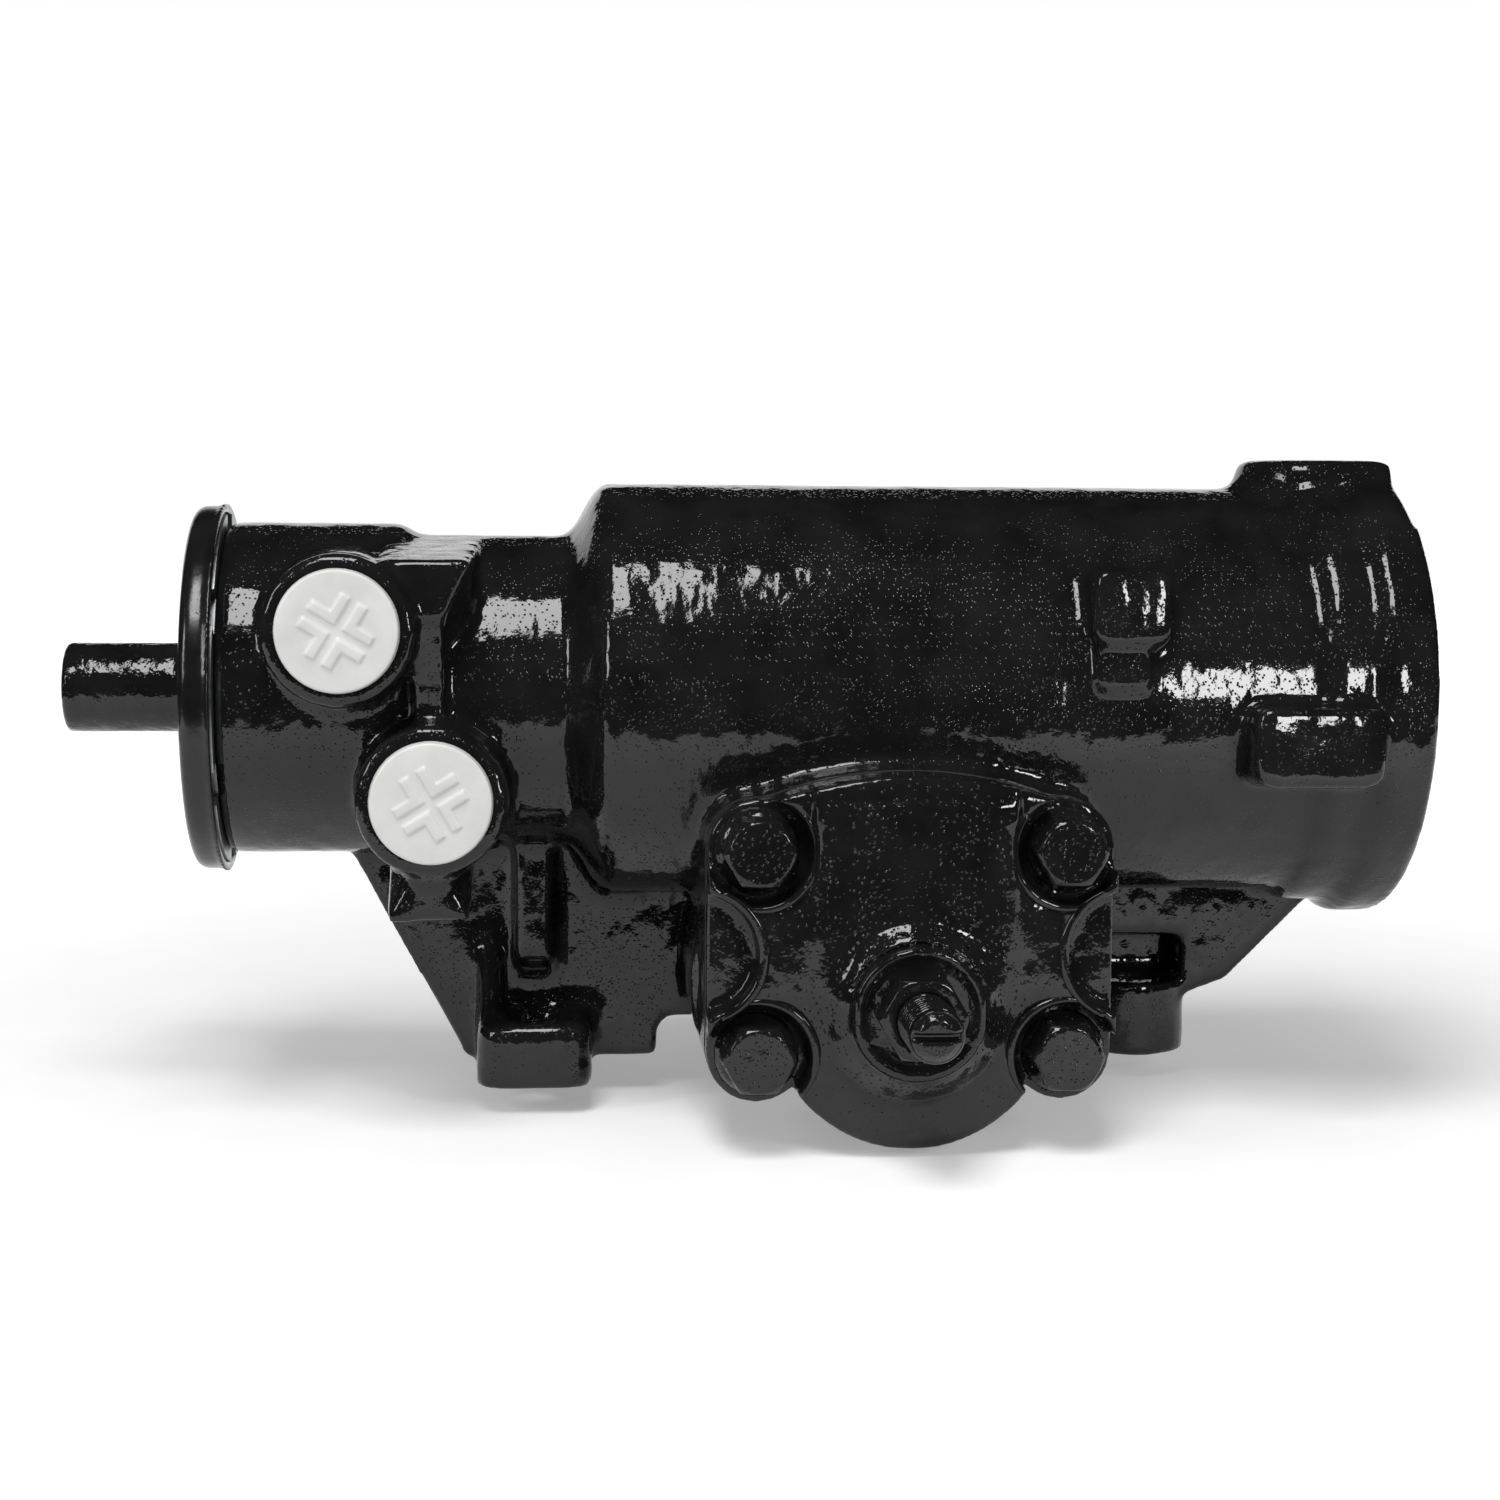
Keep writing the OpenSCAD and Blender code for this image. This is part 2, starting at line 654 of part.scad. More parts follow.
// Rear end
module end_plug() {
    groove_x = end_plug_t / 2;
    color("#202020") along_worm(bore_rear) difference() {
        cylinder(r = end_plug_d / 2 - seated, h = end_plug_t, $fn = 96);
        translate([0, 0, end_plug_t - 3]) tube(end_plug_d / 2 - 8, 12, 4);
        translate([0, 0, groove_x - 1.6]) tube(end_plug_d / 2 + 1, end_plug_d / 2 - 3.2, 3.2);
    }
}
module end_plug_seal() {
    color("#222222") along_worm(bore_rear + end_plug_t / 2) o_ring(end_plug_d / 2 - 1.65, 1.5);
}
module retaining_ring() {
    color("#8a8d90") along_worm(bore_rear + end_plug_t + face_gap) difference() {
        tube(end_plug_d / 2 + snap_depth - 0.1, end_plug_d / 2 - 4.5, snap_t);
        translate([0, -5, -1]) cube([end_plug_d, 10, snap_t + 2]);
    }
}

// Front end
module adjuster_plug() {
    color("#7d8084") difference() {
        along_worm(-nut_front) cylinder(r = plug_thread_r, h = nut_front - plug_inner, $fn = 96);
        along_worm(-nut_front - 1) cylinder(r = guide_shaft_r + 1, h = nut_front);
        along_worm(-plug_inner - guide_bearing_l - 1)
            cylinder(r = guide_bearing_r + seated, h = guide_bearing_l + 2);
        along_worm(-nut_front - 1) cylinder(r = input_seal_r + seated, h = input_seal_l + 2);
        along_worm(-plug_inner - 6) tube(plug_thread_r + 1, plug_thread_r - 2.6, 2.8);
        for (a = [0, 180]) at_worm() rotate([a, 0, 0]) translate([-nut_front, 0, 23])
            rotate([0, 90, 0]) cylinder(r = 3, h = 6);
    }
}
module adjuster_seal() {
    color("#222222") along_worm(-plug_inner - 4.6) o_ring(plug_thread_r - 1.3, 1.25);
}
module adjuster_lock_nut() {
    notch = 9;
    color("#5f6266") along_worm(-nut_front) difference() {
        tube(cap_d / 2 - cap_wall - seated, plug_thread_r + seated, lock_nut_t);
        for (i = [0 : 5]) rotate(i * 60) translate([cap_d / 2 - 6, -notch / 2, -1])
            cube([notch, notch, lock_nut_t + 2]);
    }
}
module dust_cap() {
    lip = 0.7;
    cap_r = cap_d / 2;
    skirt_end = cap_front - valve_front - 0.3;
    color("#0e0e0e") along_worm(-cap_front) rotate_extrude($fn = 96) polygon(concat(
        [[input_r + 0.9, 0]],
        turned_edge(cap_r, 2.4),
        [[cap_r, skirt_end - 2 * lip], [cap_r + lip, skirt_end - lip], [cap_r + lip, skirt_end]],
        [[cap_r - cap_wall, skirt_end], [cap_r - cap_wall, cap_wall]],
        [[input_r + 0.9, cap_wall]]
    ));
}
module input_seal() {
    color("#26231f") along_worm(-nut_front + 1)
        tube(input_seal_r, guide_shaft_r + running, input_seal_l);
}
module input_bearing() {
    color("#9a9da0") along_worm(-plug_inner - guide_bearing_l - 1)
        tube(guide_bearing_r, guide_shaft_r + running, guide_bearing_l);
}
module upper_thrust_bearing() {
    color("#9a9da0") along_worm(-plug_inner) tube(valve_bore_r - 0.2, input_r + 2, thrust_t);
}
module lower_thrust_bearing() {
    color("#9a9da0") along_worm(-valve_floor - thrust_t) tube(valve_bore_r - 0.2, worm_r + 0.6, thrust_t);
}

// Output bearing and seals
module sector_bearing() {
    color("#9a9da0") along_sector(bearing_front)
        tube(bearing_r - seated, journal_r + running, bearing_l - 0.2);
}
module sector_seals() {
    half = seal_l / 2 - 0.3;
    color("#26231f") for (i = [0, 1])
        along_sector(seal_front + i * seal_l / 2) tube(seal_r - seated, journal_r + running, half);
}
module sector_snap_ring() {
    color("#8a8d90") along_sector(seal_front + seal_l + 2 * face_gap) difference() {
        tube(seal_r + snap_depth - 0.1, seal_r - 3, snap_t);
        translate([0, -4, -1]) cube([seal_r * 2, 8, snap_t + 2]);
    }
}

// Ports
module port_seats() {
    color("#b89a4e") for (port = ports) at_worm() translate([-port[0], 0, port[1]]) rotate([90, 0, 0])
        translate([0, 0, port_reach - port_depth]) difference() {
            union() {
                cylinder(r = port_r - 0.3, h = 2);
                cylinder(r1 = flare_r, r2 = flare_r - 2, h = flare_t);
            }
            translate([0, 0, -1]) cylinder(r = passage_r - 1, h = flare_t + 2);
        }
}
module port_plug(port, turn) {
    ridge_w = 2.1;
    ridge_h = 0.6;
    ridge_reach = 7.6;
    color("#e6e6e2") at_worm() translate([-port[0], -port_reach, port[1]]) rotate([90, 0, 0]) {
        difference() {
            union() {
                cylinder(r1 = plug_head_r, r2 = plug_head_r - 0.4, h = plug_head_t);
                translate([0, 0, -plug_shank]) cylinder(r = port_r - running, h = plug_shank + 1);
            }
            translate([0, 0, -plug_shank - 1]) cylinder(r = port_r - 2, h = plug_shank);
        }
        translate([0, 0, plug_head_t - 0.5]) linear_extrude(ridge_h + 0.5) rotate(turn) difference() {
            for (arm = [0, 90]) rotate(arm) square([2 * ridge_reach, 3 * ridge_w], center = true);
            for (arm = [0, 90]) rotate(arm) square([3 * ridge_reach, ridge_w], center = true);
        }
    }
}
module pressure_plug() {
    port_plug(ports[0], 59);
}
module return_plug() {
    port_plug(ports[1], 31);
}

// Worm and valve
module worm() {
    front = -flange_front;
    color("#a4a7aa") difference() {
        union() {
            along_worm(front) cylinder(r = valve_bore_r - 2, h = worm_flange_t);
            along_worm(front + 1) cylinder(r = worm_r, h = flange_front - track_front - 1);
            along_worm(-track_front - 1) cylinder(r = core_r, h = track_front + worm_rear + 1);
            at_worm() worm_ridge(track_front, worm_rear);
        }
        along_worm(front - 1) cylinder(r = pilot_r + running, h = pilot_l + 1.5);
        along_worm(front - 1) cylinder(r = torsion_r + seated, h = 30);
        at_worm() translate([front + 20, 0, 0]) rotate([90, 0, 0])
            cylinder(r = 2 + seated, h = 60, center = true);
    }
}
module torsion_bar() {
    rear = flange_front - 28;
    front = input_pin_front + 8;
    waist = torsion_r - 1.2;
    end_l = 16;
    color("#b7babd") difference() {
        along_worm(-front) union() {
            cylinder(r = torsion_r - running, h = end_l);
            cylinder(r = waist, h = front - rear);
            translate([0, 0, front - rear - end_l]) cylinder(r = torsion_r - running, h = end_l);
        }
        at_worm() translate([-flange_front + 20, 0, 0]) rotate([90, 0, 0])
            cylinder(r = 2 + seated, h = 60, center = true);
        at_worm() translate([-input_pin_front, 0, 0]) rotate([90, 0, 0])
            cylinder(r = 2.5, h = 60, center = true);
    }
}
module worm_pin() {
    color("#8f9295") at_worm() translate([-flange_front + 20, 0, 0]) rotate([90, 0, 0])
        cylinder(r = 2, h = 2 * worm_r - 1, center = true);
}
module input_pin() {
    color("#8f9295") at_worm() translate([-input_pin_front, 0, 0]) rotate([90, 0, 0])
        cylinder(r = 2, h = input_d - 1, center = true);
}
module valve_sleeve() {
    hole_lead = ring_lead + (ring_groove_w + ring_step) / 2;
    color("#8c9094") along_worm(-sleeve_front) difference() {
        cylinder(r = valve_bore_r - sleeve_gap, h = sleeve_l);
        translate([0, 0, -1]) cylinder(r = spool_r + 0.08, h = sleeve_l - 2);
        translate([0, 0, -1]) cylinder(r = pilot_r + 1, h = sleeve_l + 2);
        for (i = [0 : ring_count - 1]) translate([0, 0, ring_lead + i * ring_step])
            tube(valve_bore_r + 1, valve_bore_r - 2, ring_groove_w);
        for (i = [0 : ring_count - 2], a = [0 : 60 : 300]) rotate(a)
            translate([0, 0, hole_lead + i * ring_step])
                rotate([90, 0, 0]) cylinder(r = 1.6, h = valve_bore_d, $fn = 24);
    }
}
module valve_rings() {
    color("#3a3f45") for (i = [0 : ring_count - 1])
        along_worm(-sleeve_front + ring_lead + ring_side_gap + i * ring_step)
            tube(valve_bore_r - running, valve_bore_r - 1.95, ring_groove_w - 2 * ring_side_gap);
}
module valve_spool() {
    length = sleeve_l - 8;
    slots = 6;
    color("#9aa0a5") along_worm(-sleeve_front + 1) difference() {
        tube(spool_r, guide_shaft_r + seated - 0.3, length);
        for (i = [0 : slots - 1]) rotate(i * 360 / slots) translate([spool_r - 1.2, -2, 5])
            cube([4, 4, length - 10]);
    }
}
module input_shaft() {
    tip = -input_tip;
    edge = 1.2;
    cap_gap = 0.6;
    valve_end = -sleeve_front + 1 + sleeve_l - 8;
    color("#181818") difference() {
        union() {
            along_worm(tip) rotate_extrude()
                polygon(concat([[0, 0]], turned_edge(input_r, edge), [[0, edge]]));
            along_worm(tip + edge) cylinder(r = input_r, h = input_out - edge - cap_gap);
            along_worm(-cap_front - 1) cylinder(r = guide_shaft_r, h = cap_front + 1 - sleeve_front);
            along_worm(-sleeve_front - 1) cylinder(r = guide_shaft_r - 0.3, h = valve_end + sleeve_front + 1);
            along_worm(valve_end - 1) cylinder(r = pilot_r, h = -flange_front + pilot_l - valve_end + 1);
        }
        along_worm(-input_pin_front - 10) cylinder(r = torsion_r + running, h = input_tip);
        at_worm() translate([-input_pin_front, 0, 0]) rotate([90, 0, 0])
            cylinder(r = 2 + seated, h = 60, center = true);
    }
}

// Rack piston and ball circuit
module rack_piston() {
    flat_rear = 1.5 * tooth_pitch + 13;
    tip_z = rack_line + rack_addendum;
    guide_x = [circuit_start, circuit_start + circuit_turns * worm_lead];
    color("#96999c") difference() {
        along_worm(-piston_front) cylinder(r = piston_r, h = piston_front + piston_rear, $fn = 96);
        along_worm(-piston_front - 1) cylinder(r = nut_bore_r, h = piston_front + piston_rear + 2);
        along_worm(piston_rear - rack_plug_l) cylinder(r = rack_plug_r + seated, h = rack_plug_l + 1);
        at_worm() {
            for (i = [-1 : 1]) translate([i * tooth_pitch, 50, 0]) rotate([90, 0, 0])
                linear_extrude(100) rack_space();
            translate([-piston_front - 1, -50, -60]) cube([piston_front + 1 + flat_rear, 100, 60 - tip_z]);
            translate([guide_x[0] - 9, -17, pocket_floor]) cube([guide_x[1] - guide_x[0] + 18, 34, 30]);
            for (x = guide_x) translate([x, 0, 0]) cylinder(r = guide_r + seated, h = 50);
            nut_track();
        }
        along_worm(piston_rear - ring_rear - ring_groove) tube(piston_r + 1, piston_r - 3.2, ring_groove);
    }
}
module piston_ring() {
    color("#3f3a33") along_worm(piston_rear - ring_rear - ring_groove + 0.1)
        tube(bore_r - running, piston_r - 3.1, ring_groove - 0.2);
}
module rack_end_plug() {
    drive = 12.7;
    color("#85888b") along_worm(piston_rear - rack_plug_l) difference() {
        cylinder(r = rack_plug_r, h = rack_plug_l);
        translate([-drive / 2, -drive / 2, 3]) cube([drive, drive, rack_plug_l]);
    }
}
module ball_guide() {
    ends = [circuit_start, circuit_start + circuit_turns * worm_lead];
    bore = ball_r + 0.15;
    bottom = nut_bore_r + 1.6;
    color("#c2c4c6") at_worm() difference() {
        union() {
            for (x = ends) translate([x, 0, bottom]) cylinder(r = guide_r, h = guide_run - bottom);
            for (x = ends) translate([x, 0, guide_run]) sphere(r = guide_r);
            translate([ends[0], 0, guide_run]) rotate([0, 90, 0])
                cylinder(r = guide_r, h = ends[1] - ends[0]);
        }
        for (x = ends) translate([x, 0, bottom - 1]) cylinder(r = bore, h = guide_run - bottom + 1);
        for (x = ends) translate([x, 0, guide_run]) sphere(r = bore);
        translate([ends[0], 0, guide_run]) rotate([0, 90, 0]) cylinder(r = bore, h = ends[1] - ends[0]);
    }
}
module guide_clamp() {
    middle = circuit_start + circuit_turns * worm_lead / 2;
    wide = 12;
    top = guide_r * 2 + 1.6;
    color("#74777a") at_worm() translate([middle - wide / 2, 0, pocket_floor]) difference() {
        rotate([90, 0, 90]) linear_extrude(wide) difference() {
            union() {
                translate([-14, 0]) square([28, 2]);
                translate([-guide_r - 1.6, 0]) square([2 * guide_r + 3.2, top]);
            }
            translate([0, guide_r + 0.05]) circle(r = guide_r + 0.1);
            translate([-guide_r - 0.1, -1]) square([2 * guide_r + 0.2, guide_r + 1]);
        }
        for (y = [-10.5, 10.5]) translate([wide / 2, y, -1]) cylinder(r = 2.2, h = 8);
    }
}
module clamp_screws() {
    middle = circuit_start + circuit_turns * worm_lead / 2;
    color("#5a5d60") at_worm() for (y = [-10.5, 10.5]) translate([middle, y, pocket_floor]) {
        cylinder(r = 2, h = 4);
        translate([0, 0, 2]) cylinder(r = 3.4, h = 2.4);
    }
}
module balls() {
    in_track = 20;
    in_guide = 4;
    span = 360 * circuit_turns;
    color("#cfd2d4") at_worm() {
        for (i = [0 : in_track - 1])
            translate(helix(circuit_angle + span * (i + 0.75) / (in_track + 0.5), ball_circle_r))
                sphere(r = ball_r, $fn = 24);
        for (i = [0 : in_guide - 1])
            translate([circuit_start + circuit_turns * worm_lead * (i + 0.5) / in_guide, 0, guide_run])
                sphere(r = ball_r, $fn = 24);
    }
}

// Sector shaft and pitman end
module sector_shaft() {
    half = sector_face / 2;
    slot_w = 2 * (lash_r + 0.5);
    head_w = 2 * (lash_head_r + 0.2);
    head_t = lash_head_t + 0.4;
    color("#a9acae") difference() {
        union() {
            facing(-half) linear_extrude(sector_face) sector_outline();
            along_sector(-trunnion_front) cylinder(r = trunnion_r, h = trunnion_front);
            along_sector(0) cylinder(r = journal_r, h = seat_front - 4);
            along_sector(seat_front - 4) cylinder(r1 = journal_r, r2 = seat_d / 2, h = 4);
            along_sector(seat_front) cylinder(r1 = seat_d / 2, r2 = seat_d / 2 - seat_taper, h = seat_l);
            along_sector(seat_rear - 1) cylinder(r = end_thread_d / 2, h = thread_l + 1);
        }
        facing(trunnion_front - lash_neck - 1) translate([-slot_w / 2, -40, 0]) cube([slot_w, 80, 20]);
        facing(trunnion_front - lash_neck - lash_head_t - 0.2) translate([-head_w / 2, -40, 0])
            cube([head_w, 80, head_t]);
    }
}
module arm_nut() {
    color("#6d7073") along_sector(seat_rear + thread_l - arm_nut_t - 1) difference() {
        intersection() {
            hexagon(arm_nut_af, arm_nut_t);
            cylinder(r1 = arm_nut_af / 2 + 16, r2 = arm_nut_af / 2 + 0.3, h = arm_nut_t);
        }
        translate([0, 0, -1]) cylinder(r = end_thread_d / 2 + seated, h = arm_nut_t + 2);
    }
}
module arm_washer() {
    color("#5d6063") along_sector(seat_rear + thread_l - arm_nut_t - 1 - arm_washer_t) difference() {
        tube(arm_nut_af / 2 + 1, end_thread_d / 2 + 0.3, arm_washer_t);
        rotate(20) translate([0, -1, -1]) cube([arm_nut_af, 2, arm_washer_t + 2]);
    }
}

housing();
side_cover();
cover_gasket();
cover_bush();
cover_bolts();
lash_screw();
lash_nut();
end_plug();
end_plug_seal();
retaining_ring();
adjuster_plug();
adjuster_seal();
adjuster_lock_nut();
dust_cap();
input_seal();
input_bearing();
upper_thrust_bearing();
lower_thrust_bearing();
sector_bearing();
sector_seals();
sector_snap_ring();
port_seats();
pressure_plug();
return_plug();
worm();
torsion_bar();
worm_pin();
input_pin();
valve_sleeve();
valve_rings();
valve_spool();
input_shaft();
rack_piston();
piston_ring();
rack_end_plug();
ball_guide();
guide_clamp();
clamp_screws();
balls();
sector_shaft();
arm_nut();
arm_washer();
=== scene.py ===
"""Looks of a power steering gearbox: thick gloss black paint on castings, white transit plugs, studio light.

Everything is in metres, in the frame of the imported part: +X to the rear end of the cylinder, +Y out of the
pitman side, +Z up from the sector shaft to the worm. The photograph looks along +Y at the side cover.
"""

import json
import math

import bmesh
import bpy
from mathutils import Matrix, Vector
from mathutils import noise as smooth_noise


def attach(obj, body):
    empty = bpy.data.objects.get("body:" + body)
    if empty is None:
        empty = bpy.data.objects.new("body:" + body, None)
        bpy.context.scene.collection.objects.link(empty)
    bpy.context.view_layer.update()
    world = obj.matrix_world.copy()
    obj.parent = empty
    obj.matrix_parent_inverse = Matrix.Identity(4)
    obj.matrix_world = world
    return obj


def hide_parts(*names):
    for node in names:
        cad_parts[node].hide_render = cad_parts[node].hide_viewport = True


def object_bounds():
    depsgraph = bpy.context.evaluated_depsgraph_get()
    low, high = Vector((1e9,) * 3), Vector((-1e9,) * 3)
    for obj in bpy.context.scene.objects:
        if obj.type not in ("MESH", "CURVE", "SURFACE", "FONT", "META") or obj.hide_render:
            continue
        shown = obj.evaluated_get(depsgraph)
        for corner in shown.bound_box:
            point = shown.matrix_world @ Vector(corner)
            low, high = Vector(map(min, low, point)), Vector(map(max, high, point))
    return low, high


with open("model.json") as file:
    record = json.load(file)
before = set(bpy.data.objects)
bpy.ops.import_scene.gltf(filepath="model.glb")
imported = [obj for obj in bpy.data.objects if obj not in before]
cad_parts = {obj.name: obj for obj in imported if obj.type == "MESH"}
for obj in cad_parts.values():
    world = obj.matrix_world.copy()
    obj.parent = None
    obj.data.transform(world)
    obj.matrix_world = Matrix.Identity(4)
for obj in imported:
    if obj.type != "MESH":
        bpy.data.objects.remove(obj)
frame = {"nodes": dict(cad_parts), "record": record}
cad_low, cad_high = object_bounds()

MM = 0.001
BODY_OF = {node: body for body, nodes in frame["record"]["behaviour"]["bodies"].items() for node in nodes}
SLOT_OF = {part["node"]: part["material_slot"] for part in frame["record"]["subparts"]}

# Camera, fitted to the photograph: eye point, turn to the right, tilt, roll and lens for a 36 mm sensor
EYE = Vector((-83.3, -712.1, 108.5)) * MM
YAW = math.radians(4.99)
PITCH = math.radians(-5.55)
ROLL = math.radians(0.45)
LENS_MM = 62.07

FLOOR_Z = cad_low.z - 0.5 * MM


# Node helpers

def new_material(name):
    """An empty node material, with its tree and its main shader."""
    material = bpy.data.materials.new(name)
    material.use_nodes = True
    return material, material.node_tree, material.node_tree.nodes["Principled BSDF"]


def noise(tree, scale, detail=2.0, stretch=(1, 1, 1)):
    """Noise in the part's own coordinates, as a socket from 0 to 1. Scale counts features per metre."""
    place = tree.nodes.new("ShaderNodeTexCoord")
    stretched = tree.nodes.new("ShaderNodeMapping")
    stretched.inputs["Scale"].default_value = stretch
    texture = tree.nodes.new("ShaderNodeTexNoise")
    texture.inputs["Scale"].default_value = scale
    texture.inputs["Detail"].default_value = detail
    tree.links.new(place.outputs["Object"], stretched.inputs["Vector"])
    tree.links.new(stretched.outputs["Vector"], texture.inputs["Vector"])
    return texture.outputs["Fac"]


def ramp(tree, source, low, high, low_at=0.3, high_at=0.7):
    """A socket that goes from one grey or colour to another as the source rises."""
    node = tree.nodes.new("ShaderNodeValToRGB")
    for stop, at, value in zip(node.color_ramp.elements, (low_at, high_at), (low, high)):
        stop.position = at
        stop.color = (*value, 1) if isinstance(value, tuple) else (value, value, value, 1)
    tree.links.new(source, node.inputs["Fac"])
    return node.outputs["Color"]


def bump(tree, height, depth, below=None):
    """Bumps of a depth in metres, on top of an earlier bump socket if there is one."""
    node = tree.nodes.new("ShaderNodeBump")
    node.inputs["Distance"].default_value = depth
    tree.links.new(height, node.inputs["Height"])
    if below is not None:
        tree.links.new(below, node.inputs["Normal"])
    return node.outputs["Normal"]


# Materials

def nibs(tree, scale, patch_scale):
    """Small round nibs of uneven height, crowded in some patches, as a socket from 0 to 1."""
    place = tree.nodes.new("ShaderNodeTexCoord")
    cells = tree.nodes.new("ShaderNodeTexVoronoi")
    cells.inputs["Scale"].default_value = scale
    tree.links.new(place.outputs["Object"], cells.inputs["Vector"])
    height = ramp(tree, cells.outputs["Distance"], 1.0, 0.0, 0.0, 0.35)
    each_cell = ramp(tree, cells.outputs["Color"], 0.0, 1.0, 0.4, 0.75)
    each_patch = ramp(tree, noise(tree, patch_scale, 3), 0.35, 1.0, 0.35, 0.7)
    for share in (each_cell, each_patch):
        product = tree.nodes.new("ShaderNodeMath")
        product.operation = "MULTIPLY"
        tree.links.new(height, product.inputs[0])
        tree.links.new(share, product.inputs[1])
        height = product.outputs["Value"]
    return height


def gloss_paint(name, lump_depth, peel_depth, nib_scale, nib_depth, sharp=0.03, dull=0.09):
    """Thick black paint: soft lumps and runs, the orange peel of the spray, and nibs of grit under it."""
    material, tree, shader = new_material(name)
    shade = ramp(tree, noise(tree, 90, 4), (0.006, 0.006, 0.0064), (0.012, 0.012, 0.0125))
    gloss = ramp(tree, noise(tree, 260, 3), sharp, dull)
    lumps = bump(tree, noise(tree, 80, 2, (1.7, 1, 1)), lump_depth)
    peel = bump(tree, noise(tree, 330, 3), peel_depth, lumps)
    grit = bump(tree, nibs(tree, nib_scale, 70), nib_depth, peel)
    shader.inputs["Specular IOR Level"].default_value = 0.42
    tree.links.new(shade, shader.inputs["Base Color"])
    tree.links.new(gloss, shader.inputs["Roughness"])
    tree.links.new(grit, shader.inputs["Normal"])
    return material


def metal(name, dark, light, rough, lines=(1, 1, 1), depth=0.00002):
    """Machined or ground metal with faint tool lines and uneven gloss."""
    material, tree, shader = new_material(name)
    shader.inputs["Metallic"].default_value = 1
    marks = noise(tree, 900, 3, lines)
    tree.links.new(ramp(tree, noise(tree, 160, 4), dark, light), shader.inputs["Base Color"])
    tree.links.new(ramp(tree, marks, rough * 0.8, rough * 1.25), shader.inputs["Roughness"])
    tree.links.new(bump(tree, marks, depth), shader.inputs["Normal"])
    return material


def soft_plastic(name, dark, light, rough, depth):
    """Moulded plastic, rubber or gasket board: faint mottling and a fine skin."""
    material, tree, shader = new_material(name)
    tree.links.new(ramp(tree, noise(tree, 120, 3), dark, light), shader.inputs["Base Color"])
    tree.links.new(ramp(tree, noise(tree, 400, 2), rough * 0.85, rough * 1.15), shader.inputs["Roughness"])
    tree.links.new(bump(tree, noise(tree, 1500, 2), depth), shader.inputs["Normal"])
    return material


def white_plastic():
    """Milky plastic of the transit plugs, which lets a little light into it."""
    material = soft_plastic("white_plastic", (0.62, 0.62, 0.606), (0.7, 0.7, 0.686), 0.42, 0.00001)
    shader = material.node_tree.nodes["Principled BSDF"]
    shader.inputs["Subsurface Weight"].default_value = 0.25
    shader.inputs["Subsurface Radius"].default_value = (0.002, 0.002, 0.0018)
    shader.inputs["Subsurface Scale"].default_value = 1
    return material


MATERIALS = {
    "housing_paint": gloss_paint("housing_paint", 0.0005, 0.00009, 1300, 0.0002),
    "cover_paint": gloss_paint("cover_paint", 0.0006, 0.00012, 1050, 0.00036),
    "cap_paint": gloss_paint("cap_paint", 0.0002, 0.00004, 1300, 0.00004, 0.14, 0.24),
    "shaft_paint": gloss_paint("shaft_paint", 0.0009, 0.0003, 1300, 0.0001),
    "gasket": soft_plastic("gasket", (0.02, 0.02, 0.02), (0.04, 0.038, 0.036), 0.5, 0.00005),
    "bronze": metal("bronze", (0.5, 0.33, 0.15), (0.66, 0.46, 0.24), 0.3, (1, 0.1, 1)),
    "brass": metal("brass", (0.62, 0.46, 0.2), (0.76, 0.6, 0.3), 0.28),
    "seal_rubber": soft_plastic("seal_rubber", (0.018, 0.018, 0.018), (0.034, 0.033, 0.032), 0.55, 0.00003),
    "spring_steel": metal("spring_steel", (0.36, 0.37, 0.38), (0.5, 0.51, 0.52), 0.32),
    "plain_steel": metal("plain_steel", (0.3, 0.31, 0.32), (0.44, 0.45, 0.46), 0.38, (0.15, 1, 1)),
    "bearing_steel": metal("bearing_steel", (0.6, 0.61, 0.62), (0.74, 0.75, 0.76), 0.18),
    "hard_steel": metal("hard_steel", (0.42, 0.42, 0.43), (0.56, 0.57, 0.58), 0.26, (1, 0.12, 1)),
    "ring_plastic": soft_plastic("ring_plastic", (0.07, 0.065, 0.06), (0.11, 0.1, 0.09), 0.4, 0.00002),
    "white_plastic": white_plastic(),
}


# Pieces

def add_piece(name, corners, faces, node):
    """A piece of its own that rides with a CAD node and is painted like it."""
    mesh = bpy.data.meshes.new(name)
    mesh.from_pydata(corners, [], faces)
    mesh.validate()
    mesh.shade_smooth()
    piece = bpy.data.objects.new(name, mesh)
    bpy.context.scene.collection.objects.link(piece)
    dress(piece, SLOT_OF[node])
    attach(piece, BODY_OF[node])
    return piece


def ring_strip(rings, sides):
    """Faces between closed rings of points, with a face over the first and the last ring."""
    faces = []
    for i in range(rings - 1):
        for j in range(sides):
            k = (j + 1) % sides
            faces.append((i * sides + j, i * sides + k, (i + 1) * sides + k, (i + 1) * sides + j))
    faces.append(tuple(range(sides - 1, -1, -1)))
    faces.append(tuple((rings - 1) * sides + j for j in range(sides)))
    return faces


def box_of(node):
    """Low and high corner of a CAD node."""
    part = frame["nodes"][node]
    corners = [part.matrix_world @ Vector(corner) for corner in part.bound_box]
    low = Vector(min(corner[i] for corner in corners) for i in range(3))
    high = Vector(max(corner[i] for corner in corners) for i in range(3))
    return low, high


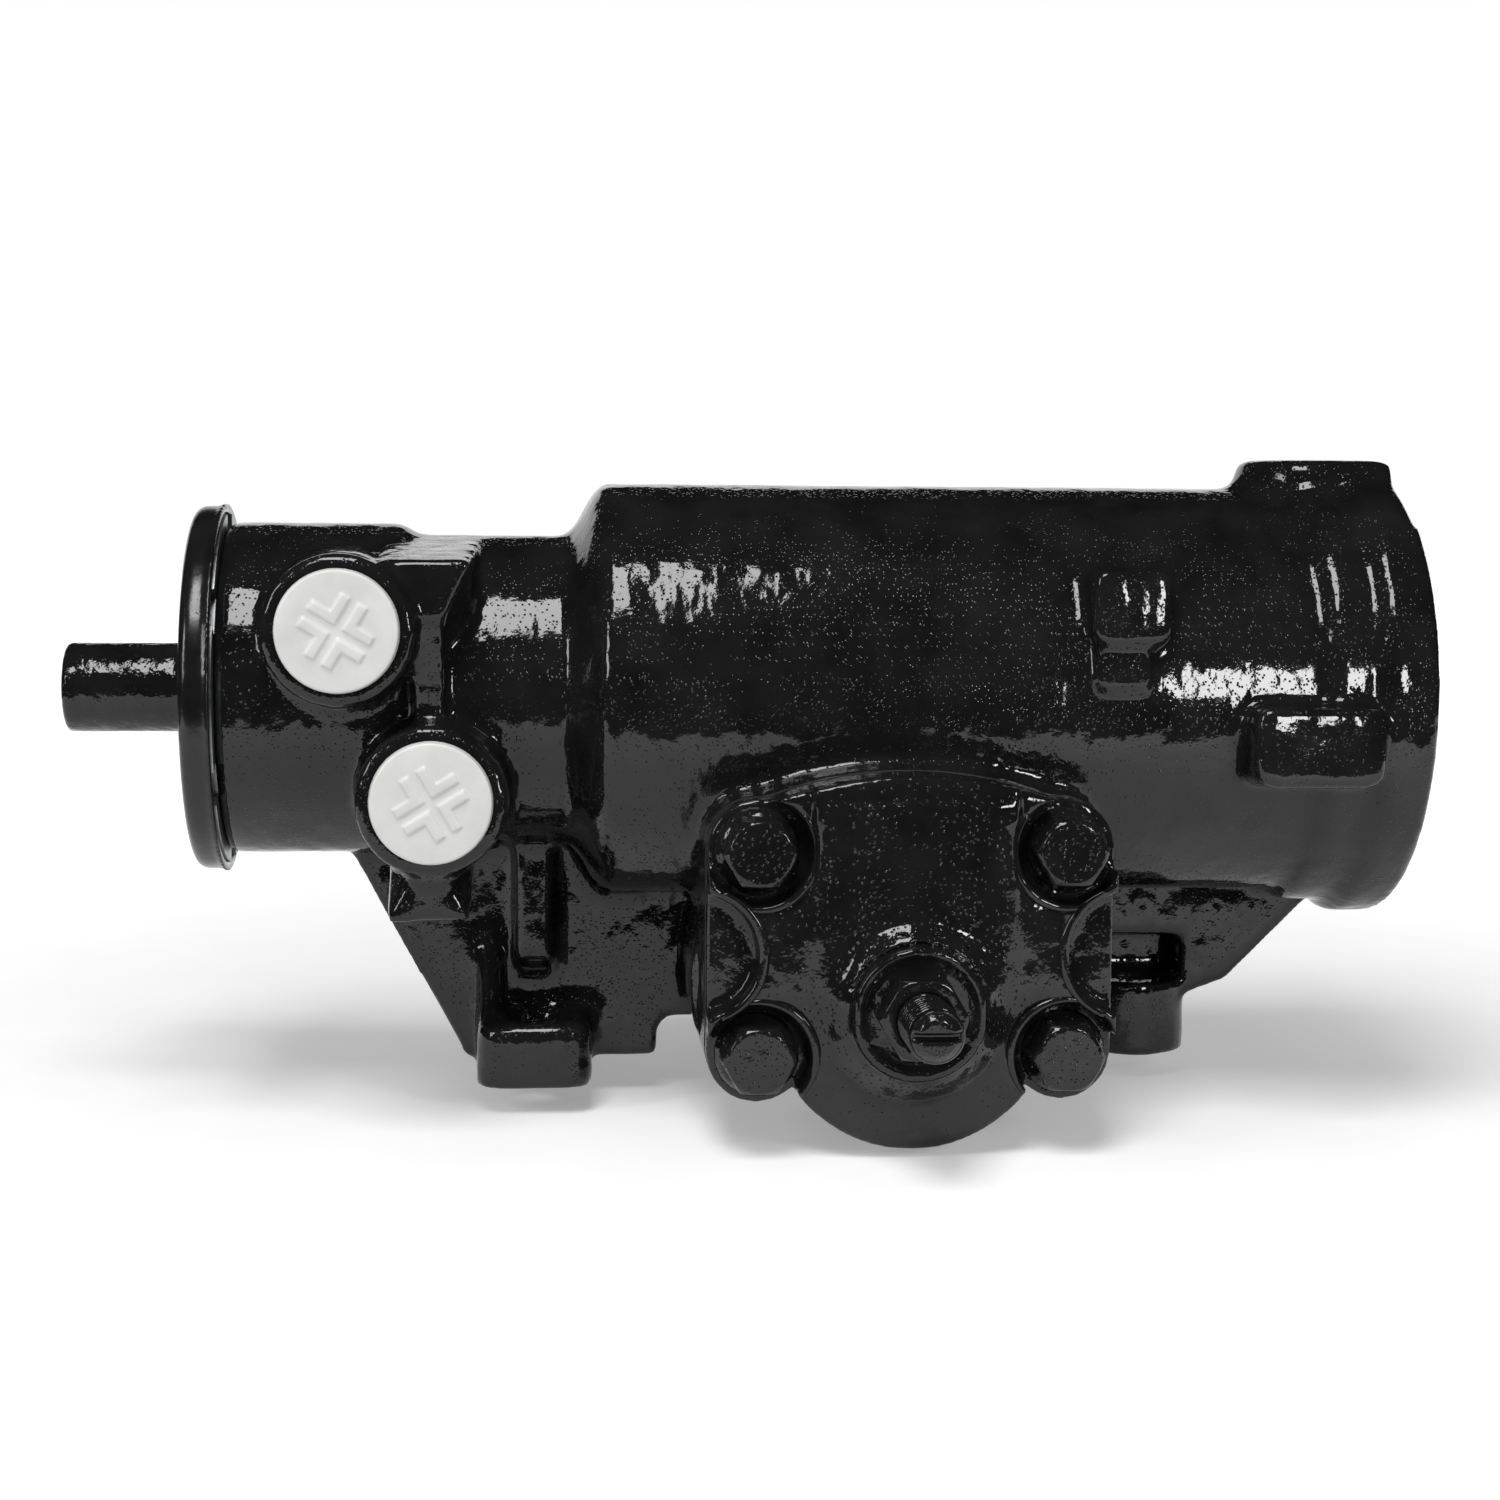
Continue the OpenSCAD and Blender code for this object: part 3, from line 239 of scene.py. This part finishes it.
def add_thread(name, node, centre, start, end, root, crest, pitch):
    """A screw ridge on a shaft along Y, from one place to another, that fades in and out at its ends."""
    steps_per_turn = 32
    steps = int(abs(end - start) / pitch * steps_per_turn)
    along = 1 if end > start else -1
    corners = []
    for i in range(steps + 1):
        turn = 2 * math.pi * i / steps_per_turn
        fade = min(1, i / 12, (steps - i) / 12)
        top = root + (crest - root) * fade
        middle = start + (end - start) * i / steps
        for radius, offset in ((root - 0.2 * MM, -0.5), (top, -0.12), (top, 0.12), (root - 0.2 * MM, 0.5)):
            y = middle + along * offset * pitch * 0.94
            corners.append((centre.x + radius * math.cos(turn), y, centre.z + radius * math.sin(turn)))
    add_piece(name, corners, ring_strip(steps + 1, 4), node)


def add_serrations(name, node, start, end, start_radius, end_radius, count, depth):
    """Fine teeth round a tapered seat on the Y axis."""
    corners = []
    rings = ((start, start_radius), (end, end_radius))
    rows = ((start, start_radius - depth), *rings, (end, end_radius - depth))
    for y, radius in rows:
        for i in range(2 * count):
            turn = math.pi * i / count
            tooth = radius + (depth if i % 2 else 0)
            corners.append((tooth * math.sin(turn), y, tooth * math.cos(turn)))
    piece = add_piece(name, corners, ring_strip(len(rows), 2 * count), node)
    piece.data.shade_flat()


def add_bead(name, node, centre, radius, first, last, thickness):
    """A raised bead along an arc in a plane that faces the camera, thinning out at its ends."""
    steps, sides = 40, 10
    corners = []
    for i in range(steps + 1):
        turn = first + (last - first) * i / steps
        size = thickness * math.sin(math.pi * (i + 1) / (steps + 2)) ** 0.4
        for j in range(sides):
            round_bead = 2 * math.pi * j / sides
            reach = radius + size * math.cos(round_bead)
            x = centre.x + reach * math.cos(turn)
            z = centre.z + reach * math.sin(turn)
            corners.append((x, centre.y - 0.7 * size * math.sin(round_bead), z))
    add_piece(name, corners, ring_strip(steps + 1, sides), node)


def roughen(mesh, depth, sizes):
    """Push the surface in and out by up to a depth, in lumps of several sizes, as a sand mould leaves it."""
    normals = [vertex.normal.copy() for vertex in mesh.vertices]
    for vertex, normal in zip(mesh.vertices, normals):
        lump = sum(smooth_noise.noise(vertex.co / size) for size in sizes) / len(sizes)
        vertex.co += normal * depth * lump


def rounded_copy(node, voxel, rounding, rough=0.0):
    """Stand-in for a CAD node with edges rounded and corners filled, as thick paint leaves them."""
    piece = bpy.data.objects.new(node + "_rounded", frame["nodes"][node].data.copy())
    bpy.context.scene.collection.objects.link(piece)
    remesh = piece.modifiers.new("skin", "REMESH")
    remesh.mode = "VOXEL"
    remesh.voxel_size = voxel
    smooth = piece.modifiers.new("rounding", "SMOOTH")
    smooth.factor = 0.5
    smooth.iterations = rounding
    bpy.context.view_layer.update()
    shaped = piece.evaluated_get(bpy.context.evaluated_depsgraph_get())
    piece.data = bpy.data.meshes.new_from_object(shaped)
    piece.modifiers.clear()
    roughen(piece.data, rough, (12 * MM, 5 * MM))
    piece.data.shade_smooth()
    dress(piece, SLOT_OF[node])
    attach(piece, BODY_OF[node])
    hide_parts(node)
    return piece


def soften(piece, low, high, rounds):
    """Round off further what lies in a box in mm, where thick paint and fillets run together."""
    mesh = bmesh.new()
    mesh.from_mesh(piece.data)
    inside = [v for v in mesh.verts if all(low[i] * MM < v.co[i] < high[i] * MM for i in range(3))]
    every_way = {"use_axis_x": True, "use_axis_y": True, "use_axis_z": True}
    for _ in range(rounds):
        bmesh.ops.smooth_vert(mesh, verts=inside, factor=0.5, **every_way)
    mesh.to_mesh(piece.data)
    mesh.free()


def barrel_pad(piece, half_width, low, high, rise):
    """Lift the middle of a flat pad that faces the camera, so that it is slightly barrel-shaped."""
    normals = [vertex.normal.copy() for vertex in piece.data.vertices]
    for vertex, normal in zip(piece.data.vertices, normals):
        if normal.y < -0.7 and abs(vertex.co.x) < half_width and low < vertex.co.z < high:
            vertex.co.y -= rise * (1 - (vertex.co.x / half_width) ** 2)


def dress(piece, material):
    """Give a piece one of the materials, most of which are named after the record's slots."""
    piece.data.materials.clear()
    piece.data.materials.append(MATERIALS[material])


for node, part in frame["nodes"].items():
    dress(part, SLOT_OF[node])

# Housing, softened further in three boxes: the front foot, the pad low on the barrel and the top boss
housing = rounded_copy("housing", 1.15 * MM, 6, 0.16 * MM)
soften(housing, (-108, -200, -22), (-55, -100, 34), 14)
soften(housing, (70, -200, 26), (114, -135, 62), 8)
soften(housing, (72, -150, 103), (125, -60, 130), 26)

# Side cover and its bolts in grittier paint, with a lifted pad that is softened along both its sides
cover = rounded_copy("side_cover", 0.75 * MM, 8, 0.12 * MM)
dress(cover, "cover_paint")
barrel_pad(cover, 22 * MM, -6 * MM, 44 * MM, 1.6 * MM)
soften(cover, (-30, -220, -12), (-14, -150, 40), 40)
soften(cover, (14, -220, -12), (30, -150, 40), 40)
dress(rounded_copy("cover_bolts", 0.45 * MM, 4), "cover_paint")

# Smaller pieces
rounded_copy("lash_nut", 0.35 * MM, 4)
rounded_copy("lash_screw", 0.35 * MM, 2)
rounded_copy("dust_cap", 0.6 * MM, 5)
rounded_copy("input_shaft", 0.6 * MM, 4)
rounded_copy("pressure_plug", 0.3 * MM, 3)
rounded_copy("return_plug", 0.3 * MM, 3)

# Thread on the free end of the lash screw, from the face of its nut to its chamfer
screw_tip = box_of("lash_screw")[0].y + 1.8 * MM
nut_face = box_of("lash_nut")[0].y
sector_axis = Vector((0, 0, 0))
add_thread("lash_thread", "lash_screw", sector_axis, nut_face, screw_tip, 5.3 * MM, 6 * MM, 1.75 * MM)

# Serrations of the pitman arm seat, whose middle is the origin, and the thread behind it
seat_half = 15 * MM
add_serrations("arm_serrations", "sector_shaft", -seat_half, seat_half, 16.9 * MM, 15.4 * MM, 36, 0.8 * MM)
shaft_end = box_of("sector_shaft")[1].y - 1 * MM
add_thread("arm_thread", "sector_shaft", sector_axis, seat_half, shaft_end, 10.9 * MM, 11.5 * MM, 1.5 * MM)

# Raised beads on the face of the side cover: round its two scallops, and on the inner side of its bolts
cover_low, cover_high = box_of("side_cover")
COVER_FACE = cover_low.y + 8.5 * MM
COVER_MIDDLE_Z = 11.3 * MM
SCALLOP_R = 13.4 * MM
SCALLOP_OUT = 2.6 * MM
SCALLOP_BEAD = 1.2 * MM
SCALLOP_SPREAD = math.radians(68)
BOLT_X = 33.5 * MM
BOLT_HEIGHTS = {"upper": 33.5 * MM, "lower": -11 * MM}
BOLT_RIM_R = 12.3 * MM
BOLT_RIM = 1.0 * MM
BOLT_RIM_SPREAD = math.radians(75)
for end_name, side in (("front", -1), ("rear", 1)):
    edge = cover_high.x if side > 0 else -cover_low.x
    inward = math.pi if side > 0 else 0
    bead_centre = Vector((side * (edge + SCALLOP_OUT), COVER_FACE, COVER_MIDDLE_Z))
    add_bead(f"{end_name}_scallop_bead", "side_cover", bead_centre, SCALLOP_R + SCALLOP_BEAD,
             inward - SCALLOP_SPREAD, inward + SCALLOP_SPREAD, SCALLOP_BEAD)
    for row_name, height in BOLT_HEIGHTS.items():
        rim_centre = Vector((side * BOLT_X, COVER_FACE, height))
        to_middle = math.atan2(COVER_MIDDLE_Z - height, -side * BOLT_X)
        add_bead(f"{row_name}_{end_name}_bolt_rim", "side_cover", rim_centre, BOLT_RIM_R,
                 to_middle - BOLT_RIM_SPREAD, to_middle + BOLT_RIM_SPREAD, BOLT_RIM)


# Studio

def seen_directly(tree):
    """1 for rays from the camera, from gloss and through glass, and 0 for the light that falls on things."""
    path = tree.nodes.new("ShaderNodeLightPath")
    total = path.outputs["Is Camera Ray"]
    for name in ("Is Glossy Ray", "Is Transmission Ray"):
        either = tree.nodes.new("ShaderNodeMath")
        either.operation = "MAXIMUM"
        tree.links.new(total, either.inputs[0])
        tree.links.new(path.outputs[name], either.inputs[1])
        total = either.outputs["Value"]
    return total


def floor_material():
    """Pale floor that shows white far off and fades into the white world, and glows less near the part: a
    painted grey pool of shade round it, which also dims the floor's reflection in the paint, so that the
    part's shadow still shows there.
    """
    material, tree, shader = new_material("studio_floor")
    shader.inputs["Roughness"].default_value = 0.8
    tree.links.new(ramp(tree, noise(tree, 30, 2), 0.78, 0.82), shader.inputs["Base Color"])
    # Painted shade: the floor's glow falls from 1 far off to 0.3 within about 0.15 m of the part's middle
    place = tree.nodes.new("ShaderNodeTexCoord")
    painted_shade_pool = tree.nodes.new("ShaderNodeTexGradient")
    painted_shade_pool.gradient_type = "SPHERICAL"
    tree.links.new(place.outputs["Object"], painted_shade_pool.inputs["Vector"])
    seen = tree.nodes.new("ShaderNodeMath")
    seen.operation = "MULTIPLY"
    tree.links.new(ramp(tree, painted_shade_pool.outputs["Fac"], 1.0, 0.3, 0.35, 0.85), seen.inputs[0])
    tree.links.new(seen_directly(tree), seen.inputs[1])
    shader.inputs["Emission Color"].default_value = (1, 1, 1, 1)
    tree.links.new(seen.outputs["Value"], shader.inputs["Emission Strength"])
    return material


def dark_reflection_material():
    """Matt black of the flags round the part, which only reflections show: painted dark reflections."""
    material, tree, shader = new_material("black_reflection_sheet")
    shader.inputs["Roughness"].default_value = 1
    shader.inputs["Specular IOR Level"].default_value = 0
    tree.links.new(ramp(tree, noise(tree, 20, 2), 0.004, 0.012), shader.inputs["Base Color"])
    return material


def stage_mesh(name, corners, material):
    """A four-cornered sheet that belongs to the studio and not to the part."""
    mesh = bpy.data.meshes.new(name)
    mesh.from_pydata(corners, [], [(0, 1, 2, 3)])
    piece = bpy.data.objects.new(name, mesh)
    bpy.context.scene.collection.objects.link(piece)
    piece.data.materials.append(material)
    return piece


def add_floor(half=4.0):
    """A square floor just under the part, with its middle below the part's."""
    corners = [(-half, -half, 0), (half, -half, 0), (half, half, 0), (-half, half, 0)]
    floor = stage_mesh("floor", corners, floor_material())
    floor.location = ((cad_low.x + cad_high.x) / 2, (cad_low.y + cad_high.y) / 2, FLOOR_Z)


def only_in_gloss(piece):
    """Keep a flag out of everything but reflections."""
    piece.visible_camera = False
    piece.visible_diffuse = False
    piece.visible_transmission = False
    piece.visible_shadow = False


def add_dark_room():
    """Black sheets that only gloss sees, painted dark reflections of a dark room: sheets over the floor,
    which the camera sees white, and walls and a roof outside the picture.
    """
    flag_black = dark_reflection_material()
    near, left, right = -0.37, -0.6, 0.85
    far, wall, ceiling, back_edge = 1.6, 1.5, 1.7, 0.75
    dark_reflection_z = FLOOR_Z + 0.4 * MM

    def level_sheet(name, height, x_range, y_range):
        """A level rectangle at a height."""
        corners = [(x_range[i], y_range[j], height) for i, j in ((0, 0), (1, 0), (1, 1), (0, 1))]
        only_in_gloss(stage_mesh(name, corners, flag_black))

    def upright_sheet(name, first, second, bottom):
        """A sheet from a height to the roof over the line between two floor points."""
        corners = [(*first, bottom), (*second, bottom), (*second, ceiling), (*first, ceiling)]
        only_in_gloss(stage_mesh(name, corners, flag_black))

    # Painted dark reflections: black sheets over the floor in front and to both sides, seen in the paint's
    # gloss but not by the camera, which sees the floor white there
    level_sheet("near_dark_reflection", dark_reflection_z, (-wall, wall), (-wall, near))
    level_sheet("left_dark_reflection", dark_reflection_z, (-wall, left), (near, far))
    level_sheet("right_dark_reflection", dark_reflection_z, (right, wall), (near, far))
    level_sheet("roof", ceiling, (-wall, wall), (-wall, far))
    upright_sheet("front_wall", (-wall, -wall), (wall, -wall), FLOOR_Z)
    upright_sheet("left_wall", (-wall, -wall), (-wall, far), FLOOR_Z)
    upright_sheet("right_wall", (wall, -wall), (wall, far), FLOOR_Z)
    upright_sheet("back_wall", (-wall, far), (wall, far), back_edge)


def add_softbox(name, place, target, size, watts):
    """A rectangular lamp that points at a target and that the camera doesn't see."""
    lamp = bpy.data.lights.new(name, "AREA")
    lamp.shape = "RECTANGLE"
    lamp.size, lamp.size_y = size
    lamp.energy = watts
    holder = bpy.data.objects.new(name, lamp)
    bpy.context.scene.collection.objects.link(holder)
    holder.location = place
    holder.rotation_euler = (Vector(target) - Vector(place)).to_track_quat("-Z", "Y").to_euler()
    holder.visible_camera = False


def add_world():
    """White to the eye and to gloss, and a plain fill for the light that falls on the part."""
    world = bpy.data.worlds.new("studio")
    bpy.context.scene.world = world
    world.use_nodes = True
    tree = world.node_tree
    background = tree.nodes["Background"]
    strength = ramp(tree, seen_directly(tree), 0.2, 1.0, 0.0, 1.0)
    tree.links.new(strength, background.inputs["Strength"])
    background.inputs["Color"].default_value = (1, 1, 1, 1)


def add_camera():
    """The camera of the photograph."""
    camera = bpy.data.objects.new("photo_camera", bpy.data.cameras.new("photo_camera"))
    bpy.context.scene.collection.objects.link(camera)
    camera.data.lens = LENS_MM
    camera.data.sensor_width = 36
    camera.data.clip_start = 0.01
    aim = Matrix.Rotation(-YAW, 4, "Z") @ Matrix.Rotation(math.radians(90) + PITCH, 4, "X")
    camera.matrix_world = Matrix.Translation(EYE) @ aim @ Matrix.Rotation(ROLL, 4, "Z")
    bpy.context.scene.camera = camera


add_floor()
add_dark_room()
add_world()
add_camera()
add_softbox("overhead", (-0.185, -0.6, 0.88), (-0.08, -0.14, 0.08), (0.36, 0.5), 7.2)
add_softbox("right_front", (0.154, -0.42, 0.1), (0.08, -0.15, 0.06), (0.045, 0.08), 0.26)
add_softbox("left_front", (-0.62, -0.5, 0.3), (-0.16, -0.12, 0.06), (0.12, 0.3), 1.1)
bpy.context.scene.view_settings.view_transform = "Standard"
